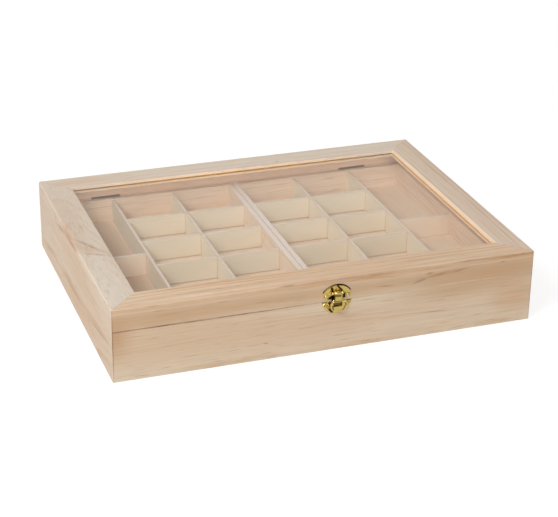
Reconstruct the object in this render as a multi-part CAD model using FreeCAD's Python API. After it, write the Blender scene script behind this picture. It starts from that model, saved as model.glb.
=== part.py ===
import FreeCAD, Part
import math
import os

# Glass-lidded pine box with two lift-out trays for sorting small parts.
# Millimetres. Origin at the centre of the underside, +X to the right along the long side,
# +Y to the back, where the hinges are, +Z up. The clasp is on the front.

V = FreeCAD.Vector
UP = V(0, 0, 1)
ALONG_X = V(1, 0, 0)
TO_FRONT = V(0, -1, 0)

# Whole box
BOX_W = 400.0
BOX_D = 300.0
BOX_H = 70.0
WALL_T = 10.0
SPLIT_Z = 48.5
SPLIT_GAP = 0.2
CORNER_R = 1.2
SIDES = ("front", "back", "left", "right")

# Base: the bottom panel is let into a rebate, and strips round the inside carry the trays
PANEL_T = 3.0
PANEL_REBATE = 5.0
PANEL_PLAY = 0.2
STRIP_T = 6.0
STRIP_TOP = 21.0

# Lid: mitred rails over the lid walls, grooved for the glass
RAIL_W = 28.0
RAIL_T = 6.0
RAIL_LIP = 2.0
GROOVE_DEPTH = 5.0
GROOVE_H = 1.6
GLASS_T = 1.5
GLASS_PLAY = 0.5

# Trays
TRAY_PLAY = 1.0
TRAY_GAP = 0.6
TRAY_WALL_T = 5.0
TRAY_TOP = 48.2
TRAY_EDGE_R = 0.6
FLOOR_T = 3.0
FLOOR_LIFT = 1.0
FLOOR_GROOVE = 2.5
DIVIDER_T = 3.0
DIVIDER_DROP = 1.0
DIVIDER_EDGE_R = 0.4
LAP_PLAY = 0.1
CROSS_LIFT = 0.5
INNER_CELL_W = 59.0
ROWS = 5

# Butt hinges, with leaves let into the rims of the back walls
HINGE_X = 134.0
HINGE_W = 30.0
LEAF_T = 0.8
LEAF_D = 9.0
BARREL_R = 1.6
BARREL_GAP = 0.3
PIN_R = 0.75
PIN_PLAY = 0.05
KNUCKLE_GAP = 0.2
SCREW_R = 1.0
SCREW_HEAD_R = 1.8
SCREW_L = 9.0
SCREW_SLOT = 0.5
SCREW_SPACING = 18.0

# Clasp: two stamped brass plates and a hinged hasp
CLASP_X = 5.4
CLASP_PLATE_T = 0.6
CLASP_TOP = 65.0
CLASP_BOTTOM = 36.2
CLASP_HALF_W = 13.2
FAN_R = 16.8
WING_BOTTOM = 50.6
SHELL_R = 14.4
WING_R = 3.8
RIM_R = 0.5
RIM_INSET = 1.0
RIM_END = 2.0
RIB_R = 0.45
RIB_ANGLES = (42.0, 50.0, 58.0)
RIB_INNER = 13.8
RIB_OUTER = 17.2
HASP_W = 6.6
HASP_T = 0.8
HASP_GAP = 1.7
HASP_PIN_Z = 57.0
HASP_PIN_R = 0.6
HASP_BARREL_R = 1.5
HASP_TAB_R = 7.0
HASP_TAB_Z = 45.2
KNUCKLE_OUTER = HASP_W / 2 + 2.4
FOOT_MARGIN = 1.6
SLOT_W = 8.0
SLOT_Z0 = 44.5
SLOT_Z1 = 48.1
LIP_R = 0.6
CATCH_GAP = 0.3
CATCH_W = 6.2
CATCH_Z0 = 45.1
CATCH_Z1 = 47.5
NAIL_R = 0.55
NAIL_HEAD_R = 1.3
NAIL_DOME = 0.5
NAIL_L = 7.0
UPPER_NAIL = (10.3, 53.8)
LOWER_NAIL = (4.4, 41.2)

HALF_W = BOX_W / 2
HALF_D = BOX_D / 2
BASE_TOP = SPLIT_Z - SPLIT_GAP / 2
LID_BOTTOM = SPLIT_Z + SPLIT_GAP / 2
LID_WALL_TOP = BOX_H - RAIL_T
GROOVE_Z = LID_WALL_TOP + RAIL_LIP
SIDE_SIGN = {"left": -1, "right": 1}


def box(x0, x1, y0, y1, z0, z1):
    """An upright block between two corners."""
    return Part.makeBox(x1 - x0, y1 - y0, z1 - z0, V(x0, y0, z0))


def prism(points, z0, z1):
    """A flat outline given by (x, y) points, raised from z0 to z1."""
    corners = [V(x, y, z0) for x, y in points]
    face = Part.Face(Part.makePolygon(corners + corners[:1]))
    return face.extrude(V(0, 0, z1 - z0))


def fuse(shapes):
    """Joined shapes, with the seams between coplanar faces removed."""
    first = shapes[0]
    if len(shapes) == 1:
        return first
    return first.multiFuse(shapes[1:]).removeSplitter()


def cut(shape, tools):
    """A shape with all the tools taken away."""
    return shape.cut(tools)


def mirrored(shape, x=0.0):
    """The mirror image across the plane at x."""
    return shape.mirror(V(x, 0, 0), ALONG_X)


def eased(shape, wanted, radius):
    """The shape with its wanted edges rounded over."""
    edges = [edge for edge in shape.Edges if wanted(edge)]
    return shape.makeFillet(radius, edges)


def is_level_at(z):
    """A test for the level edges at one height."""
    def test(edge):
        heights = [vertex.Z for vertex in edge.Vertexes]
        return max(abs(height - z) for height in heights) < 1e-6
    return test


def is_upright(edge):
    """True for the upright edges."""
    first, last = edge.Vertexes[0], edge.Vertexes[-1]
    return abs(first.X - last.X) + abs(first.Y - last.Y) < 1e-6


def mitred(side, outer, inner, z0, z1):
    """One of the four mitred boards between two insets from the outside of the box."""
    wo, do = HALF_W - outer, HALF_D - outer
    wi, di = HALF_W - inner, HALF_D - inner
    outlines = {
        "front": [(-wo, -do), (wo, -do), (wi, -di), (-wi, -di)],
        "back": [(-wo, do), (-wi, di), (wi, di), (wo, do)],
        "left": [(-wo, -do), (-wi, -di), (-wi, di), (-wo, do)],
        "right": [(wo, -do), (wo, do), (wi, di), (wi, -di)],
    }
    return prism(outlines[side], z0, z1)


def outer_envelope():
    """The outside of the closed box with every outer edge eased."""
    block = box(-HALF_W, HALF_W, -HALF_D, HALF_D, 0, BOX_H)
    block = eased(block, is_upright, CORNER_R)
    return eased(block, is_level_at(BOX_H), CORNER_R)


ENVELOPE = outer_envelope()


def base_wall(side):
    """A base wall with a rebate along the bottom for the panel."""
    wall = mitred(side, 0, WALL_T, 0, BASE_TOP)
    rebate = mitred(side, PANEL_REBATE, WALL_T, 0, PANEL_T)
    return wall.cut(rebate).common(ENVELOPE)


def lid_wall(side):
    """A lid wall, sawn from the same board as the base wall below it."""
    return mitred(side, 0, WALL_T, LID_BOTTOM, LID_WALL_TOP).common(ENVELOPE)


def frame_rail(side):
    """A flat mitred rail with a groove in its inner edge for the glass."""
    rail = mitred(side, 0, RAIL_W, LID_WALL_TOP, BOX_H)
    groove = mitred(side, RAIL_W - GROOVE_DEPTH, RAIL_W, GROOVE_Z, GROOVE_Z + GROOVE_H)
    return rail.cut(groove).common(ENVELOPE)


def glass_pane():
    """The glass, captive in the grooves of the four rails."""
    inset = RAIL_W - GROOVE_DEPTH + GLASS_PLAY
    w, d = HALF_W - inset, HALF_D - inset
    return box(-w, w, -d, d, GROOVE_Z, GROOVE_Z + GLASS_T)


def bottom_panel():
    """The thin ply bottom, flush with the underside of the walls."""
    inset = PANEL_REBATE + PANEL_PLAY
    w, d = HALF_W - inset, HALF_D - inset
    return box(-w, w, -d, d, 0, PANEL_T)


def support_strip(side):
    """A strip glued inside a base wall, which a tray stands on."""
    w, d = HALF_W - WALL_T, HALF_D - WALL_T
    if side in SIDE_SIGN:
        x = SIDE_SIGN[side] * w
        x0, x1 = sorted((x, x - SIDE_SIGN[side] * STRIP_T))
        return box(x0, x1, -d + STRIP_T, d - STRIP_T, PANEL_T, STRIP_TOP)
    y = d if side == "back" else -d
    y0, y1 = sorted((y, y - math.copysign(STRIP_T, y)))
    return box(-w, w, y0, y1, PANEL_T, STRIP_TOP)


# Hinges

HINGE_Y = HALF_D + BARREL_GAP + BARREL_R
LEAF_Y0 = HALF_D - LEAF_D
LEAF_UNDER = SPLIT_Z - BARREL_R
LEAF_OVER = SPLIT_Z + BARREL_R


def screw_places(x):
    """Where the two screws of a leaf go."""
    y = HALF_D - WALL_T / 2
    return [(x + step * SCREW_SPACING / 2, y) for step in (-1, 1)]


def screw(x, y, z, down):
    """A countersunk screw with its head flush at z, driven down or up."""
    way = -UP if down else UP
    top = V(x, y, z)
    head = Part.makeCone(SCREW_HEAD_R, SCREW_R, LEAF_T, top, way)
    shank = Part.makeCylinder(SCREW_R, SCREW_L, top, way)
    half = SCREW_SLOT / 2
    slot = box(x - SCREW_HEAD_R, x + SCREW_HEAD_R, y - half, y + half, z - half, z + half)
    return head.fuse(shank).cut(slot)


def barrel(x0, x1, radius):
    """A cylinder on the hinge axis between two places along it."""
    return Part.makeCylinder(radius, x1 - x0, V(x0, HINGE_Y, SPLIT_Z), ALONG_X)


def hinge_leaf(x, lower):
    """A leaf and its knuckles: two outer ones below, one middle one above."""
    start, end = x - HINGE_W / 2, x + HINGE_W / 2
    middle = HINGE_W / 6
    gap = KNUCKLE_GAP / 2
    if lower:
        spans = [(start, x - middle - gap), (x + middle + gap, end)]
        z0, z1 = LEAF_UNDER, LEAF_UNDER + LEAF_T
        face, way = z1, -UP
    else:
        spans = [(x - middle + gap, x + middle - gap)]
        z0, z1 = LEAF_OVER - LEAF_T, LEAF_OVER
        face, way = z0, UP
    pieces = [box(start, end, LEAF_Y0, HALF_D, z0, z1)]
    for x0, x1 in spans:
        pieces.append(box(x0, x1, HALF_D, HINGE_Y, z0, z1))
        pieces.append(barrel(x0, x1, BARREL_R))
    bores = [barrel(start, end, PIN_R + PIN_PLAY)]
    for sx, sy in screw_places(x):
        bores.append(Part.makeCone(SCREW_HEAD_R, SCREW_R, LEAF_T, V(sx, sy, face), way))
    return cut(fuse(pieces), bores)


def hinge_pin(x):
    """The pin, as long as the barrel."""
    return barrel(x - HINGE_W / 2, x + HINGE_W / 2, PIN_R)


def hinge_screws(x, lower):
    """The two screws of one leaf."""
    face = LEAF_UNDER + LEAF_T if lower else LEAF_OVER - LEAF_T
    return Part.makeCompound([screw(sx, sy, face, lower) for sx, sy in screw_places(x)])


def mortises(lower):
    """Slots for the leaves and holes for their screws, for both hinges."""
    tools = []
    z0, z1 = (LEAF_UNDER, SPLIT_Z) if lower else (SPLIT_Z, LEAF_OVER)
    hole_z = LEAF_UNDER + LEAF_T - SCREW_L if lower else LEAF_OVER - LEAF_T
    for sign in SIDE_SIGN.values():
        x = sign * HINGE_X
        tools.append(box(x - HINGE_W / 2, x + HINGE_W / 2, HALF_D - WALL_T, HALF_D, z0, z1))
        for sx, sy in screw_places(x):
            tools.append(Part.makeCylinder(SCREW_R, SCREW_L, V(sx, sy, hole_z), UP))
    return tools


# Clasp: outlines are drawn in the plane of the front face as (across, up) and laid on it

FACE_Y = -HALF_D
PIN_Y = FACE_Y - CLASP_PLATE_T - HASP_GAP
HASP_Y = PIN_Y - HASP_BARREL_R + HASP_T


def on_face(across, up, y=FACE_Y):
    """A point on the front face, measured from the clasp's centre line."""
    return V(CLASP_X + across, y, up)


def sheet(edges, y, thickness):
    """A closed outline of edges, thickened towards the front."""
    face = Part.Face(Part.Wire(Part.__sortEdges__(edges)))
    return face.extrude(TO_FRONT * thickness)


def arc(a, b, c):
    """A circular edge through three points."""
    return Part.Arc(a, b, c).toShape()


def line(a, b):
    """A straight edge."""
    return Part.LineSegment(a, b).toShape()


def face_disc(across, up, radius, y, thickness):
    """A disc lying on the front face, thickened towards the front."""
    return Part.makeCylinder(radius, thickness, on_face(across, up, y), TO_FRONT)


def nail_holes(nail, depth, y=FACE_Y):
    """Holes for the pair of nails of one plate, going back from y into the wood."""
    across, up = nail
    return [face_disc(side * across, up, NAIL_R, y + depth, depth) for side in (-1, 1)]


def nails(nail):
    """Two round-headed nails through a plate into the wood."""
    across, up = nail
    front = FACE_Y - CLASP_PLATE_T
    head_r = 2 * NAIL_HEAD_R
    pieces = []
    for side in (-1, 1):
        shank = face_disc(side * across, up, NAIL_R, FACE_Y + NAIL_L, NAIL_L + CLASP_PLATE_T)
        centre = on_face(side * across, up, front + NAIL_DOME)
        ball = Part.makeSphere(math.hypot(NAIL_HEAD_R, NAIL_DOME), centre)
        in_front = face_disc(side * across, up, head_r, front, head_r)
        pieces.append(shank.fuse(ball.common(in_front)))
    return Part.makeCompound(pieces)


def stamped_ribs():
    """Ridges that fan out below the middle of the clasp, on both sides."""
    centre = on_face(0, HASP_PIN_Z, FACE_Y - CLASP_PLATE_T)
    pieces = []
    for angle in RIB_ANGLES:
        for side in (-1, 1):
            turn = math.radians(angle)
            direction = V(side * math.cos(turn), 0, -math.sin(turn))
            start = centre + direction * RIB_INNER
            end = centre + direction * RIB_OUTER
            pieces.append(Part.makeCylinder(RIB_R, RIB_OUTER - RIB_INNER, start, direction))
            pieces.append(Part.makeSphere(RIB_R, start))
            pieces.append(Part.makeSphere(RIB_R, end))
    return pieces


def stamped_rim(centre_up, radius, half_angle):
    """A round ridge that follows an arc of the outline, centred above the middle."""
    turn = math.radians(half_angle)
    centre = on_face(0, centre_up, FACE_Y - CLASP_PLATE_T)
    start = centre + V(math.sin(turn), 0, math.cos(turn)) * radius
    way = V(math.cos(turn), 0, -math.sin(turn))
    section = Part.Face(Part.Wire(Part.makeCircle(RIM_R, start, way)))
    rim = section.revolve(centre, TO_FRONT, 2 * half_angle)
    end = centre + V(-math.sin(turn), 0, math.cos(turn)) * radius
    return [rim, Part.makeSphere(RIM_R, start), Part.makeSphere(RIM_R, end)]


def upper_plate():
    """The fan-shaped plate on the lid, with knuckles for the hasp's pin."""
    half = CLASP_HALF_W
    fan_centre = CLASP_TOP - FAN_R
    shoulder = fan_centre + math.sqrt(FAN_R ** 2 - half ** 2)
    wing = WING_R
    bend = wing * (1 - math.sqrt(0.5))
    foot = HASP_W / 2 + FOOT_MARGIN
    outline = [
        arc(on_face(-half, shoulder), on_face(0, CLASP_TOP), on_face(half, shoulder)),
        line(on_face(half, shoulder), on_face(half, WING_BOTTOM + wing)),
        arc(on_face(half, WING_BOTTOM + wing),
            on_face(half - bend, WING_BOTTOM + bend),
            on_face(half - wing, WING_BOTTOM)),
        line(on_face(half - wing, WING_BOTTOM), on_face(foot, WING_BOTTOM)),
        line(on_face(foot, WING_BOTTOM), on_face(foot, LID_BOTTOM)),
        line(on_face(foot, LID_BOTTOM), on_face(-foot, LID_BOTTOM)),
        line(on_face(-foot, LID_BOTTOM), on_face(-foot, WING_BOTTOM)),
        line(on_face(-foot, WING_BOTTOM), on_face(-half + wing, WING_BOTTOM)),
        arc(on_face(-half + wing, WING_BOTTOM),
            on_face(-half + bend, WING_BOTTOM + bend),
            on_face(-half, WING_BOTTOM + wing)),
        line(on_face(-half, WING_BOTTOM + wing), on_face(-half, shoulder)),
    ]
    plate = sheet(outline, FACE_Y, CLASP_PLATE_T)
    reach = math.degrees(math.asin((half - RIM_INSET) / FAN_R))
    pieces = [plate] + stamped_rim(fan_centre, FAN_R - RIM_INSET, reach - RIM_END)
    outer = KNUCKLE_OUTER
    inner = HASP_W / 2 + KNUCKLE_GAP
    for across in (-outer, inner):
        start = on_face(across, HASP_PIN_Z, PIN_Y)
        pieces.append(Part.makeCylinder(HASP_BARREL_R, outer - inner, start, ALONG_X))
        x0 = CLASP_X + across
        pieces.append(box(x0, x0 + outer - inner, PIN_Y, FACE_Y,
                          HASP_PIN_Z - HASP_BARREL_R, HASP_PIN_Z + HASP_BARREL_R))
    bores = [Part.makeCylinder(HASP_PIN_R + PIN_PLAY, 2 * outer,
                               on_face(-outer, HASP_PIN_Z, PIN_Y), ALONG_X)]
    bores += nail_holes(UPPER_NAIL, 2 * CLASP_PLATE_T, FACE_Y - CLASP_PLATE_T)
    return cut(fuse(pieces), bores)


def hasp_pin():
    """The pin that the hasp swings on."""
    start = on_face(-KNUCKLE_OUTER, HASP_PIN_Z, PIN_Y)
    return Part.makeCylinder(HASP_PIN_R, 2 * KNUCKLE_OUTER, start, ALONG_X)


def hasp():
    """The swinging strap: a barrel on the pin, a slot over the catch and a round finger tab."""
    half = HASP_W / 2
    strap_z = HASP_TAB_Z + math.sqrt(HASP_TAB_R ** 2 - half ** 2)
    outline = [
        line(on_face(-half, HASP_PIN_Z), on_face(half, HASP_PIN_Z)),
        line(on_face(half, HASP_PIN_Z), on_face(half, strap_z)),
        arc(on_face(half, strap_z), on_face(0, HASP_TAB_Z - HASP_TAB_R), on_face(-half, strap_z)),
        line(on_face(-half, strap_z), on_face(-half, HASP_PIN_Z)),
    ]
    strap = sheet([edge.translated(V(0, HASP_Y - FACE_Y, 0)) for edge in outline], 0, HASP_T)
    barrel = Part.makeCylinder(HASP_BARREL_R, HASP_W, on_face(-half, HASP_PIN_Z, PIN_Y), ALONG_X)
    lip = Part.makeCylinder(LIP_R, SLOT_W, on_face(-SLOT_W / 2, SLOT_Z1 + LIP_R, HASP_Y - HASP_T),
                            ALONG_X)
    body = fuse([strap, barrel, lip])
    slot = box(CLASP_X - SLOT_W / 2, CLASP_X + SLOT_W / 2, HASP_Y - 2 * HASP_T, HASP_Y,
               SLOT_Z0, SLOT_Z1)
    bore = Part.makeCylinder(HASP_PIN_R + PIN_PLAY, HASP_W,
                             on_face(-half, HASP_PIN_Z, PIN_Y), ALONG_X)
    return cut(body, [slot, bore])


def lower_plate():
    """The shell-shaped plate on the base, with the catch that sits behind the hasp's slot."""
    centre = CLASP_BOTTOM + SHELL_R
    half = math.sqrt(SHELL_R ** 2 - (BASE_TOP - centre) ** 2)
    outline = [
        line(on_face(-half, BASE_TOP), on_face(half, BASE_TOP)),
        arc(on_face(half, BASE_TOP), on_face(0, CLASP_BOTTOM), on_face(-half, BASE_TOP)),
    ]
    plate = sheet(outline, FACE_Y, CLASP_PLATE_T)
    catch = box(CLASP_X - CATCH_W / 2, CLASP_X + CATCH_W / 2, HASP_Y + CATCH_GAP, FACE_Y,
                CATCH_Z0, CATCH_Z1)
    pieces = [plate, catch] + stamped_ribs()
    return cut(fuse(pieces), nail_holes(LOWER_NAIL, 2 * CLASP_PLATE_T, FACE_Y - CLASP_PLATE_T))


# Trays: everything is drawn for the right tray, and the left one is its mirror image

TRAY_X0 = TRAY_GAP / 2
TRAY_X1 = HALF_W - WALL_T - TRAY_PLAY
TRAY_Y = HALF_D - WALL_T - TRAY_PLAY
INSIDE_X0 = TRAY_X0 + TRAY_WALL_T
INSIDE_X1 = TRAY_X1 - TRAY_WALL_T
INSIDE_Y = TRAY_Y - TRAY_WALL_T
FLOOR_Z = STRIP_TOP + FLOOR_LIFT
FLOOR_TOP = FLOOR_Z + FLOOR_T
DIVIDER_TOP = TRAY_TOP - DIVIDER_DROP
DIVIDER_MID = (FLOOR_TOP + DIVIDER_TOP) / 2
INNER_DIVIDER_X = INSIDE_X0 + INNER_CELL_W + DIVIDER_T / 2
OUTER_DIVIDER_X = INNER_DIVIDER_X + INNER_CELL_W + DIVIDER_T
ROW_PITCH = (2 * INSIDE_Y + DIVIDER_T) / ROWS
CROSS_Y = [ROW_PITCH * (row - ROWS / 2 + 1) for row in range(ROWS - 1)]


def tray_board(x0, x1, y0, y1):
    """A tray wall with its top edges eased."""
    return eased(box(x0, x1, y0, y1, STRIP_TOP, TRAY_TOP), is_level_at(TRAY_TOP), TRAY_EDGE_R)


def floor_groove():
    """The space that the floor takes up in the tray walls."""
    g = FLOOR_GROOVE
    return box(INSIDE_X0 - g, INSIDE_X1 + g, -INSIDE_Y - g, INSIDE_Y + g, FLOOR_Z, FLOOR_TOP)


def tray_floor():
    """The thin ply floor, held in grooves all round."""
    g = FLOOR_GROOVE - PANEL_PLAY
    return box(INSIDE_X0 - g, INSIDE_X1 + g, -INSIDE_Y - g, INSIDE_Y + g, FLOOR_Z, FLOOR_TOP)


def thin_board(x0, x1, y0, y1, z0):
    """A divider board with its top edges eased."""
    board = box(x0, x1, y0, y1, z0, DIVIDER_TOP)
    return eased(board, is_level_at(DIVIDER_TOP), DIVIDER_EDGE_R)


def long_divider(x, lapped):
    """A front-to-back divider, slotted from above where the cross dividers lap it."""
    t = DIVIDER_T / 2
    board = thin_board(x - t, x + t, -INSIDE_Y, INSIDE_Y, FLOOR_TOP)
    if not lapped:
        return board
    reach = t + LAP_PLAY
    slots = [box(x - t, x + t, y - reach, y + reach, DIVIDER_MID, DIVIDER_TOP) for y in CROSS_Y]
    return cut(board, slots)


def cross_divider(y):
    """A divider across the two inner columns, slotted from below over the long divider."""
    t = DIVIDER_T / 2
    x1 = OUTER_DIVIDER_X - t
    board = thin_board(INSIDE_X0, x1, y - t, y + t, FLOOR_TOP + CROSS_LIFT)
    reach = t + LAP_PLAY
    slot = box(INNER_DIVIDER_X - reach, INNER_DIVIDER_X + reach, y - t, y + t,
               FLOOR_TOP, DIVIDER_MID)
    return cut(board, [slot])


def end_divider():
    """The one divider of the outer column, half way along it."""
    t = DIVIDER_T / 2
    return thin_board(OUTER_DIVIDER_X + t, INSIDE_X1, -t, t, FLOOR_TOP)


def tray_pieces():
    """The pieces of the right tray by name."""
    groove = [floor_groove()]
    pieces = {
        "inner_wall": cut(tray_board(TRAY_X0, INSIDE_X0, -TRAY_Y, TRAY_Y), groove),
        "outer_wall": cut(tray_board(INSIDE_X1, TRAY_X1, -TRAY_Y, TRAY_Y), groove),
        "front_wall": cut(tray_board(INSIDE_X0, INSIDE_X1, -TRAY_Y, -INSIDE_Y), groove),
        "back_wall": cut(tray_board(INSIDE_X0, INSIDE_X1, INSIDE_Y, TRAY_Y), groove),
        "floor": tray_floor(),
        "long_divider_1": long_divider(INNER_DIVIDER_X, True),
        "long_divider_2": long_divider(OUTER_DIVIDER_X, False),
        "end_divider": end_divider(),
    }
    for number, y in enumerate(CROSS_Y, 1):
        pieces["cross_divider_%d" % number] = cross_divider(y)
    return pieces


def all_nodes():
    """Every node of the object by name."""
    nodes = {"base_bottom_panel": bottom_panel(), "glass_pane": glass_pane()}
    for side in SIDES:
        nodes["base_%s_wall" % side] = base_wall(side)
        nodes["lid_%s_wall" % side] = lid_wall(side)
        nodes["frame_%s_rail" % side] = frame_rail(side)
        nodes["tray_strip_%s" % side] = support_strip(side)
    nodes["base_back_wall"] = cut(nodes["base_back_wall"], mortises(True))
    nodes["lid_back_wall"] = cut(nodes["lid_back_wall"], mortises(False))
    nodes["base_front_wall"] = cut(nodes["base_front_wall"], nail_holes(LOWER_NAIL, NAIL_L))
    nodes["lid_front_wall"] = cut(nodes["lid_front_wall"], nail_holes(UPPER_NAIL, NAIL_L))
    for side, sign in SIDE_SIGN.items():
        x = sign * HINGE_X
        nodes["hinge_%s_base_leaf" % side] = hinge_leaf(x, True)
        nodes["hinge_%s_lid_leaf" % side] = hinge_leaf(x, False)
        nodes["hinge_%s_pin" % side] = hinge_pin(x)
        nodes["hinge_%s_base_screws" % side] = hinge_screws(x, True)
        nodes["hinge_%s_lid_screws" % side] = hinge_screws(x, False)
    nodes["clasp_upper_plate"] = upper_plate()
    nodes["clasp_upper_nails"] = nails(UPPER_NAIL)
    nodes["clasp_lower_plate"] = lower_plate()
    nodes["clasp_lower_nails"] = nails(LOWER_NAIL)
    nodes["clasp_hasp_pin"] = hasp_pin()
    nodes["clasp_hasp"] = hasp()
    for name, shape in tray_pieces().items():
        nodes["tray_right_" + name] = shape
        nodes["tray_left_" + name] = mirrored(shape)
    return nodes


os.makedirs("parts", exist_ok=True)
for name, shape in all_nodes().items():
    shape.exportStep("parts/%s.step" % name)
    print("%-28s solids %d  volume %.0f mm3" % (name, len(shape.Solids), shape.Volume))
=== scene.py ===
import math
import random

import bmesh
import bpy
from mathutils import Matrix, Vector


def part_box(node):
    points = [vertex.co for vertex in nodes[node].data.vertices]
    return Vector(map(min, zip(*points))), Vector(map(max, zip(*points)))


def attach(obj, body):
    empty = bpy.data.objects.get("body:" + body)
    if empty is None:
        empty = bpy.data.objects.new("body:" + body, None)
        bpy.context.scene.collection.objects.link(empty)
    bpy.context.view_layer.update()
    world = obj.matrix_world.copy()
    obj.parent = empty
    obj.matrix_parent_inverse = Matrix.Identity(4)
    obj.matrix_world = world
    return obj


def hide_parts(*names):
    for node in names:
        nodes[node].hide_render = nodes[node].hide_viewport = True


# Looks of the glass-lidded pine sorting box: woods, glass, brass, floor, light and camera.
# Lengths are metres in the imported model's frame. Marks, pith lines and the clasp are in
# millimetres.

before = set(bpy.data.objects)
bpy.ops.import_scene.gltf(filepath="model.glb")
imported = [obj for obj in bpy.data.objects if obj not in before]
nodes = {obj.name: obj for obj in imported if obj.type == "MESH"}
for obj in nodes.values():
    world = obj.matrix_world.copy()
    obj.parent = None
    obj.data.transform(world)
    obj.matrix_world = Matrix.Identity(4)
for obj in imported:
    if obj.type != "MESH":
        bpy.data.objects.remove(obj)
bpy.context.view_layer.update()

MM = 0.001
GRAIN_TURN = {
    "x": (0.0, 0.0, 0.0),
    "y": (0.0, 0.0, math.pi / 2),
    "z": (0.0, -math.pi / 2, 0.0),
}

# Camera
CAMERA_TARGET = Vector((-0.00484, -0.02448, 0.035))
CAMERA_AZIMUTH = math.radians(-19.552)
CAMERA_ELEVATION = math.radians(25.163)
CAMERA_ROLL = math.radians(0.838)
CAMERA_DISTANCE = 1.5707
CAMERA_LENS = 105.89
CAMERA_SENSOR = 36.0

# Floor: its glow to the camera and to the pieces, and how much of the first shows in gloss
FLOOR_HALF = 30.0
FLOOR_DROP = 0.0003
FLOOR_COLOR = (0.35, 0.35, 0.35)
FLOOR_SEEN = 0.74
FLOOR_FELT = 0.15
FLOOR_MIRRORED = 0.4

# Sky: even light, a warm backdrop low at the back, a dim front and a softbox. The spans, where
# one level turns into the next, are parts of a unit direction or, for the softbox, how far off it.
WHITE = (1.0, 1.0, 1.0)
SKY_LEVEL = 0.50
BACKDROP_LEVEL = 1.05
BACKDROP_COLOR = (1.0, 0.91, 0.85)
BACKDROP_SPAN = (0.2, 0.6)
FRONT_LEVEL = 0.20
FRONT_SPAN = (-0.7, -0.1)
LOW_SPAN = (0.4, 0.8)
SOFTBOX_WAY = (-0.148, -0.929, 0.338)
SOFTBOX_LEVEL = 7.5
SOFTBOX_SPAN = (0.10, 0.32)

# Lamps: place, disc size, power in watts and whether gloss mirrors them
LAMPS = {
    "key": ((-1.35, -1.00, 1.55), 0.9, 23.5, True),
    "low": ((-2.20, -0.50, 0.65), 1.4, 5.0, False),
}


class Graph:
    """One material's node tree while it is built. Most methods add a node and return its output."""

    def __init__(self, tree, kind="Material"):
        self.tree = tree
        self.tree.nodes.clear()
        self.surface = self.tree.nodes.new("ShaderNodeOutput" + kind).inputs["Surface"]

    def add(self, kind, inputs=None, **settings):
        made = self.tree.nodes.new("ShaderNode" + kind)
        for key, value in settings.items():
            setattr(made, key, value)
        for key, value in (inputs or {}).items():
            if isinstance(value, bpy.types.NodeSocket):
                self.tree.links.new(value, made.inputs[key])
            else:
                made.inputs[key].default_value = value
        return made

    def math(self, operation, a, b=0.0, clamp=False):
        made = self.add("Math", {0: a, 1: b}, operation=operation, use_clamp=clamp)
        return made.outputs[0]

    def vector(self, operation, a, b):
        return self.add("VectorMath", {0: a, 1: b}, operation=operation).outputs[0]

    def place(self, point, location, rotation=(0, 0, 0), scale=(1, 1, 1)):
        """The point seen from a frame at location, turned by rotation, with scale as its units."""
        inputs = {"Vector": point, "Location": location, "Rotation": rotation, "Scale": scale}
        return self.add("Mapping", inputs, vector_type="TEXTURE").outputs[0]

    def noise(self, point, per_metre, detail=2.0, rough=0.5, seed=0.0):
        """Noise in 0 to 1 with its own frequency on each axis."""
        scaled = self.vector("MULTIPLY", point, per_metre)
        inputs = {"Vector": scaled, "W": seed, "Scale": 1.0, "Detail": detail, "Roughness": rough}
        return self.add("TexNoise", inputs, noise_dimensions="4D")

    def span(self, value, low, high, to_low=0.0, to_high=1.0, smooth=True):
        inputs = {0: value, 1: low, 2: high, 3: to_low, 4: to_high}
        kind = "SMOOTHSTEP" if smooth else "LINEAR"
        return self.add("MapRange", inputs, interpolation_type=kind).outputs[0]

    def mix(self, factor, a, b, blend="MIX"):
        inputs = {0: factor, 6: a, 7: b}
        return self.add("Mix", inputs, data_type="RGBA", blend_type=blend).outputs[2]

    def ramp(self, value, stops):
        made = self.add("ValToRGB", {0: value})
        points = made.color_ramp.elements
        for at, _ in stops[2:]:
            points.new(at)
        for point, (at, level) in zip(points, stops):
            point.position = at
            point.color = (level, level, level, 1.0)
        return made.outputs[0]


def rgb(color):
    return (*color, 1.0)


def blank(name):
    """A new material and the graph to fill in."""
    material = bpy.data.materials.new(name)
    material.use_nodes = True
    return material, Graph(material.node_tree)


# Woods: colours are linear reflectances, pitch is the mean ring width in millimetres
WOODS = {
    "pine": {
        "early": (0.715, 0.583, 0.428),
        "late": (0.500, 0.320, 0.185),
        "tint": (0.670, 0.480, 0.325),
        "pitch": 3.0,
        "contrast": 0.70,
        "fibre": 0.09,
        "dash": 0.48,
        "silk": 0.45,
    },
    "limewood": {
        "early": (0.755, 0.670, 0.530),
        "late": (0.670, 0.520, 0.360),
        "tint": (0.745, 0.625, 0.460),
        "pitch": 2.4,
        "contrast": 0.22,
        "fibre": 0.04,
        "dash": 0.10,
        "silk": 0.25,
    },
    "veneer": {
        "early": (0.780, 0.620, 0.460),
        "late": (0.620, 0.400, 0.240),
        "tint": (0.740, 0.550, 0.390),
        "pitch": 4.5,
        "contrast": 0.40,
        "fibre": 0.05,
        "dash": 0.2,
        "silk": 0.3,
    },
}
RING_PROFILE = ((0.0, 0.0), (0.35, 0.04), (0.75, 0.45), (0.9, 1.0), (1.0, 0.0))
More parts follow.
